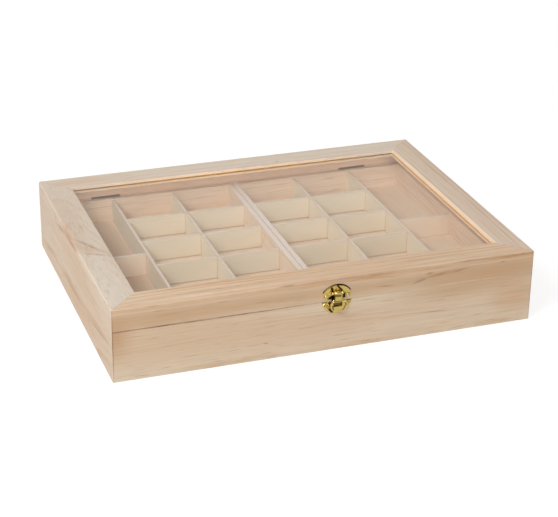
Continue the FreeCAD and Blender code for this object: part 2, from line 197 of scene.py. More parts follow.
MARK_TONES = {
    "dark": (0.200, 0.095, 0.045),
    "amber": (0.520, 0.250, 0.090),
    "blush": (0.950, 0.690, 0.510),
    # Painted light: the shaded inner faces of the walls under the rails are painted brighter and
    # pinker
    "rosy_painted_light": (0.930, 0.640, 0.430),
    "tan": (0.545, 0.345, 0.195),
    # Pale wood in grain and floor marks, and a painted highlight along the rails' lit inner edges
    "fresh": (0.920, 0.720, 0.540),
    # Painted light in the rails' dark glazing grooves
    "glow": (0.960, 0.620, 0.330),
    "sawn": (0.660, 0.540, 0.445),
    "pale": (0.740, 0.630, 0.560),
    "umber": (0.430, 0.300, 0.205),
}
FACE_AXES = {"front": (0, 2), "side": (1, 2), "top": (0, 1)}
ENDLESS = 10000.0
# A mark at least this wide to each side is an even wash. Narrower ones break up like grain.
WASH = 5.0


def mark_mask(g, point, face, u, v, half_length, half_width, slope):
    """1 at the middle of a soft ellipse on one face of the box, fading to 0 at its edge.

    A face is a name, for a mark that goes right through, or a name with a depth and half depth."""
    face, depth, half_depth = face if isinstance(face, tuple) else (face, 0.0, ENDLESS)
    axes = FACE_AXES[face]
    third = 3 - axes[0] - axes[1]
    at, size, turn = [0.0] * 3, [0.0] * 3, [0.0] * 3
    at[axes[0]], at[axes[1]] = u * MM, v * MM
    size[axes[0]], size[axes[1]] = half_length * MM, half_width * MM
    at[third], size[third] = depth * MM, half_depth * MM
    turn[third] = math.radians(slope) * (-1.0 if face == "front" else 1.0)
    seen = g.place(point, at, turn, size)
    reach = g.add("VectorMath", {0: seen}, operation="LENGTH").outputs["Value"]
    return g.span(reach, 0.0, 1.0, 1.0, 0.0)


# Grain noise: cycles per metre along the grain and across it, and how far it moves the rings
BEND_WAVES, BEND_REACH = (3.0, 14, 14), (0.0, 0.016, 0.016)
RIPPLE_WAVES, RIPPLE_REACH = (22, 110, 110), (0.0, 0.0010, 0.0010)
STREAK_WAVES = (11, 240, 240)
FIBRE_WAVES = (30, 1100, 1100)
DASH_WAVES = (42, 700, 700)
SILK_WAVES = (5, 240, 240)
BLUSH_WAVES = (3.5, 20, 20)
BROKEN_WAVES = {"x": (90, 90, 500), "y": (500, 90, 500), "z": (500, 90, 500)}
RING_WAVES = (120, 0, 0)
RING_DRIFT = 2.2


def wood(name, kind, along, pith_mm, tilt_deg, seed, marks=(), swirls=(), **changes):
    """Solid wood with growth rings round a pith line near pith_mm, tilted from the grain axis."""
    look = {**WOODS[kind], **changes}
    material, g = blank(name)
    place = g.add("TexCoord").outputs["Object"]
    tilt = Vector((0, math.radians(tilt_deg[1]), math.radians(tilt_deg[0])))
    turn = Vector(GRAIN_TURN[along]) + tilt
    local = g.place(place, Vector(pith_mm) * MM, turn)
    slow = g.noise(local, BEND_WAVES, 1.0, 0.5, seed)
    wave = g.noise(local, RIPPLE_WAVES, 2.0, 0.5, seed + 1)
    wander = g.vector("SUBTRACT", slow.outputs["Color"], (0.5, 0.5, 0.5))
    wander = g.vector("MULTIPLY", wander, BEND_REACH)
    ripple = g.vector("SUBTRACT", wave.outputs["Color"], (0.5, 0.5, 0.5))
    ripple = g.vector("MULTIPLY", ripple, RIPPLE_REACH)
    bent = g.vector("ADD", g.vector("ADD", local, wander), ripple)
    across = g.vector("MULTIPLY", bent, (0.0, 1.0, 1.0))
    radius = g.add("VectorMath", {0: across}, operation="LENGTH").outputs["Value"]
    for face, u, v, half_length, half_width, slope, push in swirls:
        mask = mark_mask(g, place, face, u, v, half_length, half_width, slope)
        radius = g.math("ADD", radius, g.math("MULTIPLY", mask, push * MM))
    phase = g.math("DIVIDE", radius, look["pitch"] * MM)
    uneven = g.noise(g.add("CombineXYZ", {0: radius}).outputs[0], RING_WAVES, 1.0, 0.5, seed + 5)
    phase = g.math("ADD", phase, g.math("MULTIPLY", uneven.outputs["Fac"], RING_DRIFT))
    part = g.math("FRACT", phase)
    late = g.ramp(part, RING_PROFILE)
    year = g.math("FLOOR", phase)
    luck = g.add("TexWhiteNoise", {"W": g.math("ADD", year, seed)}, noise_dimensions="1D")
    strength = g.math("POWER", luck.outputs["Value"], 1.6)
    strength = g.span(strength, 0.0, 1.0, 0.12, 1.0, False)
    streak = g.noise(local, STREAK_WAVES, 2.0, 0.6, seed + 8).outputs["Fac"]
    strength = g.math("MULTIPLY", strength, g.span(streak, 0.36, 0.62, 0.15, 1.0))
    ring = g.math("MULTIPLY", late, g.math("MULTIPLY", strength, look["contrast"]))
    fibre = g.noise(local, FIBRE_WAVES, 3.0, 0.6, seed + 2).outputs["Fac"]
    dash = g.noise(local, DASH_WAVES, 1.0, 0.5, seed + 3).outputs["Fac"]
    dash = g.span(dash, 0.62, 0.72, 0.0, look["dash"])
    silk = g.noise(local, SILK_WAVES, 2.0, 0.55, seed + 6).outputs["Fac"]
    silk = g.span(silk, 0.42, 0.72, 0.0, look["silk"])
    blush = g.noise(local, BLUSH_WAVES, 2.0, 0.5, seed + 4).outputs["Fac"]
    color = g.mix(g.span(blush, 0.40, 0.68), rgb(look["early"]), rgb(look["tint"]))
    color = g.mix(silk, color, rgb(look["tint"]))
    color = g.mix(ring, color, rgb(look["late"]))
    color = g.mix(dash, color, rgb(look["late"]))
    broken = g.noise(place, BROKEN_WAVES[along], 2.0, 0.6, seed + 7)
    broken = g.span(broken.outputs["Fac"], 0.30, 0.62, 0.35, 1.0)
    for tone, level, face, u, v, half_length, half_width, slope in marks:
        mask = mark_mask(g, place, face, u, v, half_length, half_width, slope)
        patchy = broken if half_width < WASH else 1.0
        mask = g.math("MULTIPLY", g.math("MULTIPLY", mask, patchy), level, clamp=True)
        color = g.mix(mask, color, rgb(MARK_TONES[tone]))
    shade = g.span(fibre, 0.25, 0.75, 1.0 - look["fibre"], 1.0 + look["fibre"], False)
    color = g.add("VectorMath", {0: color, "Scale": shade}, operation="SCALE").outputs[0]
    height = g.math("SUBTRACT", fibre, g.math("MULTIPLY", ring, 0.5))
    bump = g.add("Bump", {"Strength": 0.35, "Distance": 0.00025, "Height": height})
    rough = g.span(fibre, 0.2, 0.8, 0.55, 0.72, False)
    shader = g.add("BsdfPrincipled", {
        "Base Color": color,
        "Roughness": rough,
        "Specular IOR Level": 0.5,
        "Normal": bump.outputs[0],
    })
    g.tree.links.new(shader.outputs[0], g.surface)
    return material


def brass(name, color, roughness, seed, painted_shade=None):
    """Brass with faint polishing marks, an uneven shine, and, where a per-vertex amount asks for
    it, a dark colour painted in as shade and dark reflection.
    """
    material, g = blank(name)
    place = g.add("TexCoord").outputs["Object"]
    cloud = g.noise(place, (220, 220, 220), 2.0, 0.5, seed).outputs["Fac"]
    grit = g.noise(place, (900, 2600, 2600), 3.0, 0.6, seed + 1).outputs["Fac"]
    tone = g.mix(g.span(cloud, 0.35, 0.7), rgb(color), rgb([0.88 * c for c in color]))
    rough = g.span(grit, 0.25, 0.75, roughness * 0.8, roughness * 1.3, False)
    if painted_shade:
        # Painted shade and dark reflection: a per-vertex amount darkens the brass and roughens it
        dark = g.add("Attribute", attribute_name="painted_shade").outputs["Fac"]
        tone = g.mix(dark, tone, rgb(painted_shade))
        rough = g.math("ADD", rough, g.math("MULTIPLY", dark, 0.25))
    bump = g.add("Bump", {"Strength": 0.15, "Distance": 0.00005, "Height": grit})
    shader = g.add("BsdfPrincipled", {
        "Base Color": tone,
        "Metallic": 1.0,
        "Roughness": rough,
        "Normal": bump.outputs[0],
    })
    g.tree.links.new(shader.outputs[0], g.surface)
    return material


def clear_glass(name):
    """A thin pane: what is behind shows straight through, and one face mirrors for both."""
    material, g = blank(name)
    facing = g.math("SUBTRACT", 1.0, g.add("NewGeometry").outputs["Backfacing"])
    mirror = g.add("Fresnel", {"IOR": 1.5}).outputs[0]
    share = g.math("MULTIPLY", mirror, facing)
    through = g.add("BsdfTransparent", {"Color": rgb((0.985, 0.99, 0.985))}).outputs[0]
    shine = g.add("BsdfGlossy", {"Color": rgb((1, 1, 1)), "Roughness": 0.02}).outputs[0]
    both = g.add("MixShader", {0: share, 1: through, 2: shine})
    g.tree.links.new(both.outputs[0], g.surface)
    return material


def dress(node, material):
    node.data.materials.clear()
    node.data.materials.append(material)


def floor():
    mesh = bpy.data.meshes.new("floor")
    corners = [(-1, -1), (1, -1), (1, 1), (-1, 1)]
    verts = [(x * FLOOR_HALF, y * FLOOR_HALF, -FLOOR_DROP) for x, y in corners]
    mesh.from_pydata(verts, [], [(0, 1, 2, 3)])
    made = bpy.data.objects.new("floor", mesh)
    bpy.context.scene.collection.objects.link(made)
    material, g = blank("floor_paper")
    path = g.add("LightPath").outputs
    mirrored = g.math("MULTIPLY", path["Is Glossy Ray"], FLOOR_MIRRORED)
    seen = g.math("MAXIMUM", path["Is Camera Ray"], mirrored)
    shader = g.add("BsdfPrincipled", {
        "Base Color": rgb(FLOOR_COLOR),
        "Roughness": 0.9,
        "Specular IOR Level": 0.0,
        "Emission Color": rgb(WHITE),
        "Emission Strength": g.span(seen, 0.0, 1.0, FLOOR_FELT, FLOOR_SEEN, False),
    })
    g.tree.links.new(shader.outputs[0], g.surface)
    dress(made, material)


def sky():
    world = bpy.data.worlds.new("studio")
    bpy.context.scene.world = world
    world.use_nodes = True
    g = Graph(world.node_tree, "World")
    toward = g.add("SeparateXYZ", {0: g.add("TexCoord").outputs["Generated"]})
    back = g.span(toward.outputs["Y"], *BACKDROP_SPAN)
    low = g.span(toward.outputs["Z"], *LOW_SPAN, 1.0, 0.0)
    backdrop = g.math("MULTIPLY", back, low)
    color = g.mix(backdrop, rgb(WHITE), rgb(BACKDROP_COLOR))
    front = g.math("MULTIPLY", g.span(toward.outputs["Y"], *FRONT_SPAN, 1.0, 0.0), low)
    level = g.span(front, 0.0, 1.0, SKY_LEVEL, FRONT_LEVEL, False)
    strength = g.math("ADD", level, g.math("MULTIPLY", backdrop, BACKDROP_LEVEL - SKY_LEVEL))
    off = g.vector("SUBTRACT", g.add("TexCoord").outputs["Generated"], SOFTBOX_WAY)
    off = g.add("VectorMath", {0: off}, operation="LENGTH").outputs["Value"]
    strength = g.math("ADD", strength, g.span(off, *SOFTBOX_SPAN, SOFTBOX_LEVEL, 0.0))
    light = g.add("Background", {"Color": color, "Strength": strength})
    g.tree.links.new(light.outputs[0], g.surface)


def lamp(name, at, size, power, mirrored):
    """A round area lamp that points at the origin."""
    data = bpy.data.lights.new(name, "AREA")
    data.shape = "DISK"
    data.size = size
    data.energy = power
    made = bpy.data.objects.new(name, data)
    made.location = at
    made.rotation_euler = Vector(at).to_track_quat("Z", "Y").to_euler()
    made.visible_glossy = mirrored
    bpy.context.scene.collection.objects.link(made)


RAIL_REACH = 260
GROOVE_REACH = 14.0
GROOVE_SLAB = ("top", 66.8, 2.6)


def rail_edge(x, y, half_width, level):
    """A painted highlight along the inner edge of a frame rail, and painted orange light in its
    dark glazing groove.
    """
    edge, groove = [(RAIL_REACH, w) if y else (w, RAIL_REACH) for w in (half_width, GROOVE_REACH)]
    return (("fresh", level, "top", x, y, *edge, 0), ("glow", 2.0, GROOVE_SLAB, x, y, *groove, 0))


MITRE_X, MITRE_Y = 186, 136
MITRE_HALF = (21, 0.45)


def mitres(front):
    """Dark lines along the frame's mitre joints at the front, -1, or at the back, 1."""
    return [("dark", 0.55, "top", side * MITRE_X, front * MITRE_Y, *MITRE_HALF, 45 * side * front)
            for side in (-1, 1)]


def camera():
    flat = math.cos(CAMERA_ELEVATION)
    back = Vector((math.sin(CAMERA_AZIMUTH) * flat, -math.cos(CAMERA_AZIMUTH) * flat,
                   math.sin(CAMERA_ELEVATION)))
    right = Vector((0, 0, 1)).cross(back).normalized()
    up = back.cross(right)
    axes = Matrix((right, up, back)).transposed() @ Matrix.Rotation(CAMERA_ROLL, 3, "Z")
    data = bpy.data.cameras.new("camera")
    data.lens = CAMERA_LENS
    data.sensor_width = CAMERA_SENSOR
    data.sensor_fit = "HORIZONTAL"
    made = bpy.data.objects.new("camera", data)
    made.matrix_world = Matrix.Translation(CAMERA_TARGET + back * CAMERA_DISTANCE) @ axes.to_4x4()
    bpy.context.scene.collection.objects.link(made)
    bpy.context.scene.camera = made


# Clasp, in millimetres: across from its centre line, up from the floor and out from the wood
CLASP_X = 5.4
FACE_Y = -150.0
PLATE_T = 0.6
STRAP_BACK = 3.0
STRAP_T = 0.8
PIN_UP, PIN_OUT = 57.0, 2.3
BARREL_R = 1.5
BORE_R = 0.65
EDGE_ROUND = 0.35
RAYS, RINGS = 260, 54
CORNER_STEPS = 10
FAN_CENTRE, FAN_R = (0.0, 48.2), 16.8
FAN_HALF, FAN_SHOULDER = 13.2, 58.59
WING_UP, WING_R = 54.4, 3.8
FOOT_HALF = 4.9
LID_BOTTOM, BASE_TOP = 48.6, 48.4
SHELL_CENTRE, SHELL_R = (0.0, 50.6), 14.4
STRAP_HALF = 3.3
TAB_CENTRE, TAB_R = (0.0, 45.2), 7.0
SLOT_HALF, SLOT_LOW, SLOT_HIGH = 4.0, 44.5, 48.1
CATCH = (3.1, 45.1, 47.5)
KNUCKLE = (3.5, 5.7)

# Pressed relief: a ridge runs between two places, with its half width and height
FAN_RIDGES = (
    (0.0, 63.0, -2.6, 59.6, 0.75, 0.45), (-2.6, 59.6, -6.6, 56.2, 0.75, 0.45),
    (0.0, 63.0, 2.6, 59.6, 0.75, 0.45), (2.6, 59.6, 6.6, 56.2, 0.75, 0.45),
    (-9.0, 57.6, -7.8, 59.2, 2.6, 0.40), (9.0, 57.6, 7.8, 59.2, 2.6, 0.40),
    (-9.4, 51.5, -6.2, 51.5, 0.6, 0.25), (9.4, 51.5, 6.2, 51.5, 0.6, 0.25),
    (-6.6, 53.9, -5.4, 52.0, 1.2, -0.30), (6.8, 54.8, 6.8, 51.6, 1.0, -0.30),
    (-4.3, 61.0, -3.9, 57.8, 0.7, -0.25), (4.3, 61.0, 3.9, 57.8, 0.7, -0.25),
)
SHELL_RIDGES = (
    (-10.26, 47.77, -12.78, 45.49, 0.45, 0.45), (-8.87, 46.43, -11.06, 43.82, 0.45, 0.45),
    (-7.31, 45.30, -9.11, 42.41, 0.45, 0.45), (-6.4, 43.2, -7.6, 41.0, 0.45, 0.35),
    (10.26, 47.77, 12.78, 45.49, 0.45, 0.45), (8.87, 46.43, 11.06, 43.82, 0.45, 0.45),
    (7.31, 45.30, 9.11, 42.41, 0.45, 0.45), (6.4, 43.2, 7.6, 41.0, 0.45, 0.35),
)
STRAP_RIDGES = (
    (-3.6, 48.8, 3.6, 48.8, 0.7, 0.55), (-2.9, 50.4, -2.9, 55.6, 0.35, 0.12),
    (2.9, 50.4, 2.9, 55.6, 0.35, 0.12), (-1.6, 41.9, 1.6, 41.9, 2.4, 0.40),
    (-5.4, 46.8, -5.2, 45.4, 1.1, 0.25), (5.4, 46.8, 5.2, 45.4, 1.1, 0.25),
)
# Painted shade and dark reflection in the hollows: the same, with its strength last
FAN_SHADE_MARKS = (
    (-6.6, 51.8, -3.6, 53.6, 2.5, 1.0), (-4.4, 50.0, -3.6, 52.0, 2.0, 1.0),
    (6.9, 51.0, 6.9, 55.0, 2.1, 1.0), (-4.9, 61.4, -4.0, 57.2, 1.8, 1.0),
    (0.4, 63.4, 3.6, 59.8, 1.2, 1.0), (3.6, 59.8, 6.0, 56.4, 1.4, 1.0),
    (-13.2, 58.4, -12.6, 58.2, 0.8, 0.9), (12.6, 58.0, 13.2, 58.4, 0.8, 0.9),
    (-12.0, 53.0, -11.6, 55.0, 0.5, 0.6), (9.4, 55.6, 11.6, 55.0, 0.5, 0.6),
    (11.9, 52.6, 11.9, 54.6, 0.6, 0.6), (-9.6, 56.3, -8.0, 55.0, 0.4, 0.5),
)
SHELL_SHADE_MARKS = (
    (-9.5, 47.5, -12.0, 44.7, 0.55, 0.75), (-8.1, 46.0, -10.1, 43.1, 0.55, 0.75),
    (-6.9, 44.4, -8.4, 41.7, 0.5, 0.75), (9.5, 47.5, 12.0, 44.7, 0.55, 0.75),
    (8.1, 46.0, 10.1, 43.1, 0.55, 0.75), (6.9, 44.4, 8.4, 41.7, 0.5, 0.75),
    (-13.4, 47.6, -10.8, 48.2, 0.5, 0.8), (13.4, 47.8, 9.6, 48.2, 0.6, 0.8),
    (2.6, 37.8, 6.6, 40.6, 1.6, 1.0), (6.6, 40.6, 7.6, 44.0, 1.7, 1.0),
    (-4.2, 38.3, -6.8, 41.0, 1.6, 1.0), (0.0, 45.2, 0.0, 47.6, 3.6, 1.0),
)
STRAP_SHADE_MARKS = (
    (-3.2, 50.0, -3.0, 55.4, 0.9, 0.8), (-2.4, 55.2, 2.6, 54.6, 1.7, 0.75),
    (-4.9, 45.4, -4.2, 41.8, 0.9, 0.8), (4.2, 40.2, 6.2, 42.4, 0.6, 0.8),
    (6.2, 42.4, 6.6, 44.0, 0.6, 0.8), (-4.1, 48.3, -4.1, 44.6, 0.35, 0.8),
    (4.1, 48.3, 4.1, 44.6, 0.3, 0.6), (-4.0, 48.2, 4.0, 48.2, 0.3, 0.8),
)


SHADE_MARK_EDGE = 1.6


def off_segment(point, strip):
    """How far a point is from the strip's line."""
    start, end = Vector(strip[0:2]), Vector(strip[2:4])
    along = end - start
    share = (point - start).dot(along) / max(along.length_squared, 1e-9)
    return (point - start - along * min(1.0, max(0.0, share))).length


def swell(point, ridges):
    """How far the pressed metal stands out of its sheet."""
    ups = [r[5] * math.exp(-(off_segment(point, r) / r[4]) ** 2) for r in ridges]
    return max([0.0, *ups]) + min([0.0, *ups])


def hollow_painted_shade(point, shade_marks):
    """How much painted shade and dark reflection the hollows get here."""
    shares = [(s[5], SHADE_MARK_EDGE * (1.0 - off_segment(point, s) / s[4])) for s in shade_marks]
    return max(level * min(1.0, max(0.0, share)) for level, share in shares)


def fan_relief(point):
    off_rim = abs((point - Vector(FAN_CENTRE)).length - (FAN_R - 1.0))
    rim = 0.45 * math.exp(-(off_rim / 0.5) ** 2) if point.y > FAN_SHOULDER - 0.6 else 0.0
    inside_barrel = abs(point.x) < KNUCKLE[0] and abs(point.y - PIN_UP) < BARREL_R + 0.5
    return 0.0 if inside_barrel else max(rim, swell(point, FAN_RIDGES))


# Painted shade and dark reflection along the top of the rim and in the fan's hollows
def fan_painted_shade(point):
    off_rim = abs((point - Vector(FAN_CENTRE)).length - (FAN_R - 0.3))
    rim = min(1.0, max(0.0, 2.0 - off_rim / 0.5)) if point.y > FAN_SHOULDER - 0.8 else 0.0
    return max(rim * (1.0 if point.x > 0 else 0.85), hollow_painted_shade(point, FAN_SHADE_MARKS))


def on_front(across, up, out):
    return Vector((CLASP_X + across, FACE_Y - out, up)) * MM


def arc_points(centre, radius, start_deg, end_deg, steps):
    turns = [math.radians(start_deg + (end_deg - start_deg) * i / steps) for i in range(steps + 1)]
    return [(centre[0] + radius * math.cos(t), centre[1] + radius * math.sin(t)) for t in turns]


def reach(centre, way, outline):
    """How far from centre a ray that way meets a closed outline, which it crosses once."""
    side = Vector((-way.y, way.x))
    for a, b in zip(outline, outline[1:] + outline[:1]):
        p, q = Vector(a) - centre, Vector(b) - centre
        dp, dq = p.dot(side), q.dot(side)
        if (dp >= 0) != (dq >= 0):
            hit = (p + (q - p) * (dp / (dp - dq))).dot(way)
            if hit > 0:
                return hit
    raise ValueError("the outline isn't closed round the centre")


def pressed_sheet(bm, centre, outline, hole, back, thickness, relief, painted_shade):
    """Adds a pressed sheet with rolled edges, between a hole and an outline, or filled without one.

    Every point of both is seen from centre."""
    # Each vertex carries an amount of painted shade and dark reflection for the brass
    shade = bm.verts.layers.float["painted_shade"]
    centre = Vector(centre)
    circle = 2 * math.pi
    corners = [math.atan2(*reversed(Vector(p) - centre)) % circle for p in outline + (hole or [])]
    angles = sorted({round(a, 4) for a in corners + [circle * i / RAYS for i in range(RAYS)]})
    sides = {"front": [], "rear": []}
    for angle in angles:
        way = Vector((math.cos(angle), math.sin(angle)))
        far = reach(centre, way, outline)
        near = reach(centre, way, hole) if hole else 0.02 * far
        rows = {side: [] for side in sides}
        for j in range(RINGS + 1):
            share = 0.5 - 0.5 * math.cos(math.pi * j / RINGS)
            spot = centre + way * (near + (far - near) * share)
            margin = (far - near) * ((min(share, 1 - share) if hole else 1 - share))
            lost = 1 - min(1.0, margin / EDGE_ROUND)
            front = thickness - EDGE_ROUND * (1 - math.sqrt(1 - lost ** 2))
            high = back + relief(spot)
            dark = painted_shade(spot)
            for side, level in (("front", high + front), ("rear", high if hole else back)):
                vert = bm.verts.new(on_front(spot.x, spot.y, level))
                vert[shade] = dark
                rows[side].append(vert)
        for side in sides:
            sides[side].append(rows[side])
    front, rear = sides["front"], sides["rear"]
    for i in range(len(angles)):
        k = (i + 1) % len(angles)
        for j in range(RINGS):
            bm.faces.new((front[i][j], front[k][j], front[k][j + 1], front[i][j + 1]))
            bm.faces.new((rear[i][j], rear[i][j + 1], rear[k][j + 1], rear[k][j]))
        bm.faces.new((front[i][RINGS], front[k][RINGS], rear[k][RINGS], rear[i][RINGS]))
        if hole:
            bm.faces.new((front[k][0], front[i][0], rear[i][0], rear[k][0]))
    if not hole:
        for side in (front, rear):
            bm.faces.new([row[0] for row in side])


def lathe_along_x(bm, profile, painted_shade, steps=48):
    """Adds a ring round the pin's axis from a closed profile of (across, radius)."""
    shade = bm.verts.layers.float["painted_shade"]
    rings = []
    for i in range(steps):
        turn = 2 * math.pi * i / steps
        row = []
        for across, radius in profile:
            up, out = PIN_UP + radius * math.sin(turn), PIN_OUT + radius * math.cos(turn)
            vert = bm.verts.new(on_front(across, up, out))
            vert[shade] = painted_shade
            row.append(vert)
        rings.append(row)
    for i in range(steps):
        for j in range(len(profile)):
            a, b = (i + 1) % steps, (j + 1) % len(profile)
            bm.faces.new((rings[i][j], rings[a][j], rings[a][b], rings[i][b]))


def barrel(bm, x0, x1, painted_shade=0.0):
    ease = 0.2
    lathe_along_x(bm, [(x0, BORE_R), (x0, BARREL_R - ease), (x0 + ease, BARREL_R),
                       (x1 - ease, BARREL_R), (x1, BARREL_R - ease), (x1, BORE_R)], painted_shade)


def block(bm, x0, x1, up0, up1, out0, out1, painted_shade, ease=0.2):
    """Adds a block with eased edges."""
    shade = bm.verts.layers.float["painted_shade"]
    places = [(x, up, out) for x in (x0, x1) for up in (up0, up1) for out in (out0, out1)]
    verts = [bm.verts.new(on_front(*place)) for place in places]
    for vert in verts:
        vert[shade] = painted_shade
    quads = ((0, 1, 3, 2), (4, 6, 7, 5), (0, 4, 5, 1), (2, 3, 7, 6), (0, 2, 6, 4), (1, 5, 7, 3))
    faces = [bm.faces.new([verts[i] for i in quad]) for quad in quads]
    edges = {edge for face in faces for edge in face.edges}
    bmesh.ops.bevel(bm, geom=list(edges), offset=ease * MM, segments=2, affect="EDGES")


def clasp_piece(name, node, body, build):
    bm = bmesh.new()
    # A per-vertex amount of painted shade and dark reflection, read by the stamped brass
    bm.verts.layers.float.new("painted_shade")
    build(bm)
    bmesh.ops.recalc_face_normals(bm, faces=bm.faces)
    mesh = bpy.data.meshes.new(name)
    bm.to_mesh(mesh)
    bm.free()
    mesh.polygons.foreach_set("use_smooth", [True] * len(mesh.polygons))
    mesh.set_sharp_from_angle(angle=math.radians(50))
    made = bpy.data.objects.new(name, mesh)
    bpy.context.scene.collection.objects.link(made)
    dress(made, stamped)
    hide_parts(node)
    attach(made, body)


def build_fan(bm):
    rise = math.degrees(math.atan2(FAN_SHOULDER - FAN_CENTRE[1], FAN_HALF))
    wing = FAN_HALF - WING_R
    wing_low = WING_UP - WING_R
    outline = (arc_points(FAN_CENTRE, FAN_R, rise, 180 - rise, 3 * CORNER_STEPS)
               + arc_points((-wing, WING_UP), WING_R, 180, 270, CORNER_STEPS)
               + [(-FOOT_HALF, wing_low), (-FOOT_HALF, LID_BOTTOM)]
               + [(FOOT_HALF, LID_BOTTOM), (FOOT_HALF, wing_low)]
               + arc_points((wing, WING_UP), WING_R, 270, 360, CORNER_STEPS))
    pressed_sheet(bm, (0, 56), outline, None, 0.0, PLATE_T, fan_relief, fan_painted_shade)
    for side in (-1, 1):
        x0, x1 = sorted((side * KNUCKLE[0], side * KNUCKLE[1]))
        barrel(bm, x0, x1)
        # The knuckles' backing blocks get some painted shade
        block(bm, x0, x1, PIN_UP - BARREL_R, PIN_UP + BARREL_R, 0.4, PIN_OUT - 0.3, 0.3)


def build_shell(bm):
    dip = math.degrees(math.asin((SHELL_CENTRE[1] - BASE_TOP) / SHELL_R))
    outline = arc_points(SHELL_CENTRE, SHELL_R, -180 + dip, -dip, 5 * CORNER_STEPS)
    pressed_sheet(bm, (0, 44), outline, None, 0.0, PLATE_T,
                  lambda p: swell(p, SHELL_RIDGES), lambda p: hollow_painted_shade(p, SHELL_SHADE_MARKS))
    half, low, high = CATCH
    # The catch, seen through the slot, is painted dark as shade
    block(bm, -half, half, low, high, 0.3, STRAP_BACK - 0.3, 0.8, 0.3)


def build_strap(bm):
    rise = math.degrees(math.acos(STRAP_HALF / TAB_R))
    outline = arc_points(TAB_CENTRE, TAB_R, 180 - rise, 360 + rise, 5 * CORNER_STEPS)
    outline += [(STRAP_HALF, PIN_UP), (-STRAP_HALF, PIN_UP)]
    hole = [(-SLOT_HALF, SLOT_LOW), (SLOT_HALF, SLOT_LOW),
            (SLOT_HALF, SLOT_HIGH), (-SLOT_HALF, SLOT_HIGH)]
    pressed_sheet(bm, (0, 46.3), outline, hole, STRAP_BACK, STRAP_T,
                  lambda p: swell(p, STRAP_RIDGES), lambda p: hollow_painted_shade(p, STRAP_SHADE_MARKS))
    barrel(bm, -STRAP_HALF, STRAP_HALF)


camera()
floor()
sky()
for lamp_name, settings in LAMPS.items():
    lamp(lamp_name, *settings)
bpy.context.scene.view_settings.view_transform = "Standard"

SLOT_WOOD = {
    "box_pine": "pine",
    "tray_pine": "pine",
    "divider_wood": "limewood",
    "thin_ply": "veneer",
}

# The boards that show outside: grain axis, a point on the pith line, its tilt, seed and features.
# Marks: tone, level, face, two places, half length, half width and slope. Swirls end with a push.
CORNER_LEFT = ("dark", 1.0, "front", -199.9, 34, 1.8, 60, 0)
CORNER_RIGHT = ("dark", 1.0, "front", 199.9, 36, 1.5, 60, 0)
SPLIT_LINE = ("front", -150, 1.5)
LID_MARKS = (
    ("tan", 0.85, "front", 0, 57.5, 700, 13.0, 0),
    ("tan", 0.35, "front", -160, 57.5, 80, 14.0, 0),
    ("tan", 1.00, "front", 160, 55.0, 100, 20.0, 0),
    ("tan", 0.75, "front", 120, 43.0, 95, 15.0, 0),
    ("tan", 1.00, "front", -198, 44.0, 22, 34.0, 0),
    ("umber", 0.80, "front", 100, 59.5, 40, 2.2, 7),
    ("umber", 0.70, "front", 134, 62.5, 26, 1.6, 5),
    ("dark", 0.55, "front", 52, 55.8, 17, 0.9, -4),
    ("dark", 0.60, "front", 86, 56.0, 12, 1.2, 14),
    ("amber", 0.75, "front", 96, 62.0, 9, 1.6, 8),
    ("dark", 0.55, "front", 95, 62.6, 5, 0.8, 12),
    ("dark", 0.65, "front", 106, 60.0, 12, 1.0, 6),
    ("dark", 0.60, "front", 124, 60.8, 12, 1.1, 8),
    ("amber", 0.45, "front", 110, 60.5, 36, 3.2, 5),
    ("dark", 0.85, "front", 169, 63.6, 5, 0.7, 3),
    ("dark", 0.50, "front", -158, 63.4, 9, 0.7, 0),
    ("dark", 0.40, "front", -100, 63.3, 9, 0.7, 0),
    ("dark", 0.35, "front", -64, 57.5, 14, 0.7, 0),
    ("dark", 0.30, "front", -30, 54.0, 10, 0.7, 0),
    ("amber", 0.35, "front", -150, 59.0, 22, 2.0, 2),
    # Painted shade in the split between lid and base on its left part, and a light line painted
    # over the split on its right part that hides its shade
    ("dark", 1.00, SPLIT_LINE, -130, 48.5, 160, 1.2, 0),
    ("blush", 0.45, SPLIT_LINE, 120, 48.5, 110, 1.1, 0),
)
BASE_MARKS = (
    ("dark", 0.55, "front", 101, 22.6, 22, 0.8, -3),
    ("dark", 0.75, "front", -60.7, 16.1, 4, 1.0, -8),
    ("dark", 0.45, "front", -72, 15.8, 10, 0.7, 4),
    ("dark", 0.40, "front", -90, 13.9, 12, 0.7, 2),
    ("dark", 0.35, "front", -47, 12.0, 11, 0.7, -14),
    ("amber", 0.45, "front", -95, 3.0, 60, 4.5, 1),
    ("amber", 0.40, "front", 30, 1.5, 70, 4.0, 0),
    ("amber", 0.45, "front", 165, 2.5, 36, 4.5, 0),
    ("amber", 0.20, "front", 170, 22.0, 28, 5.0, 0),
    ("amber", 0.36, "front", 184, 26.0, 40, 30.0, 0),
    CORNER_LEFT,
    CORNER_RIGHT,
)
FRONT_ARRIS = ("front", -150, 3)
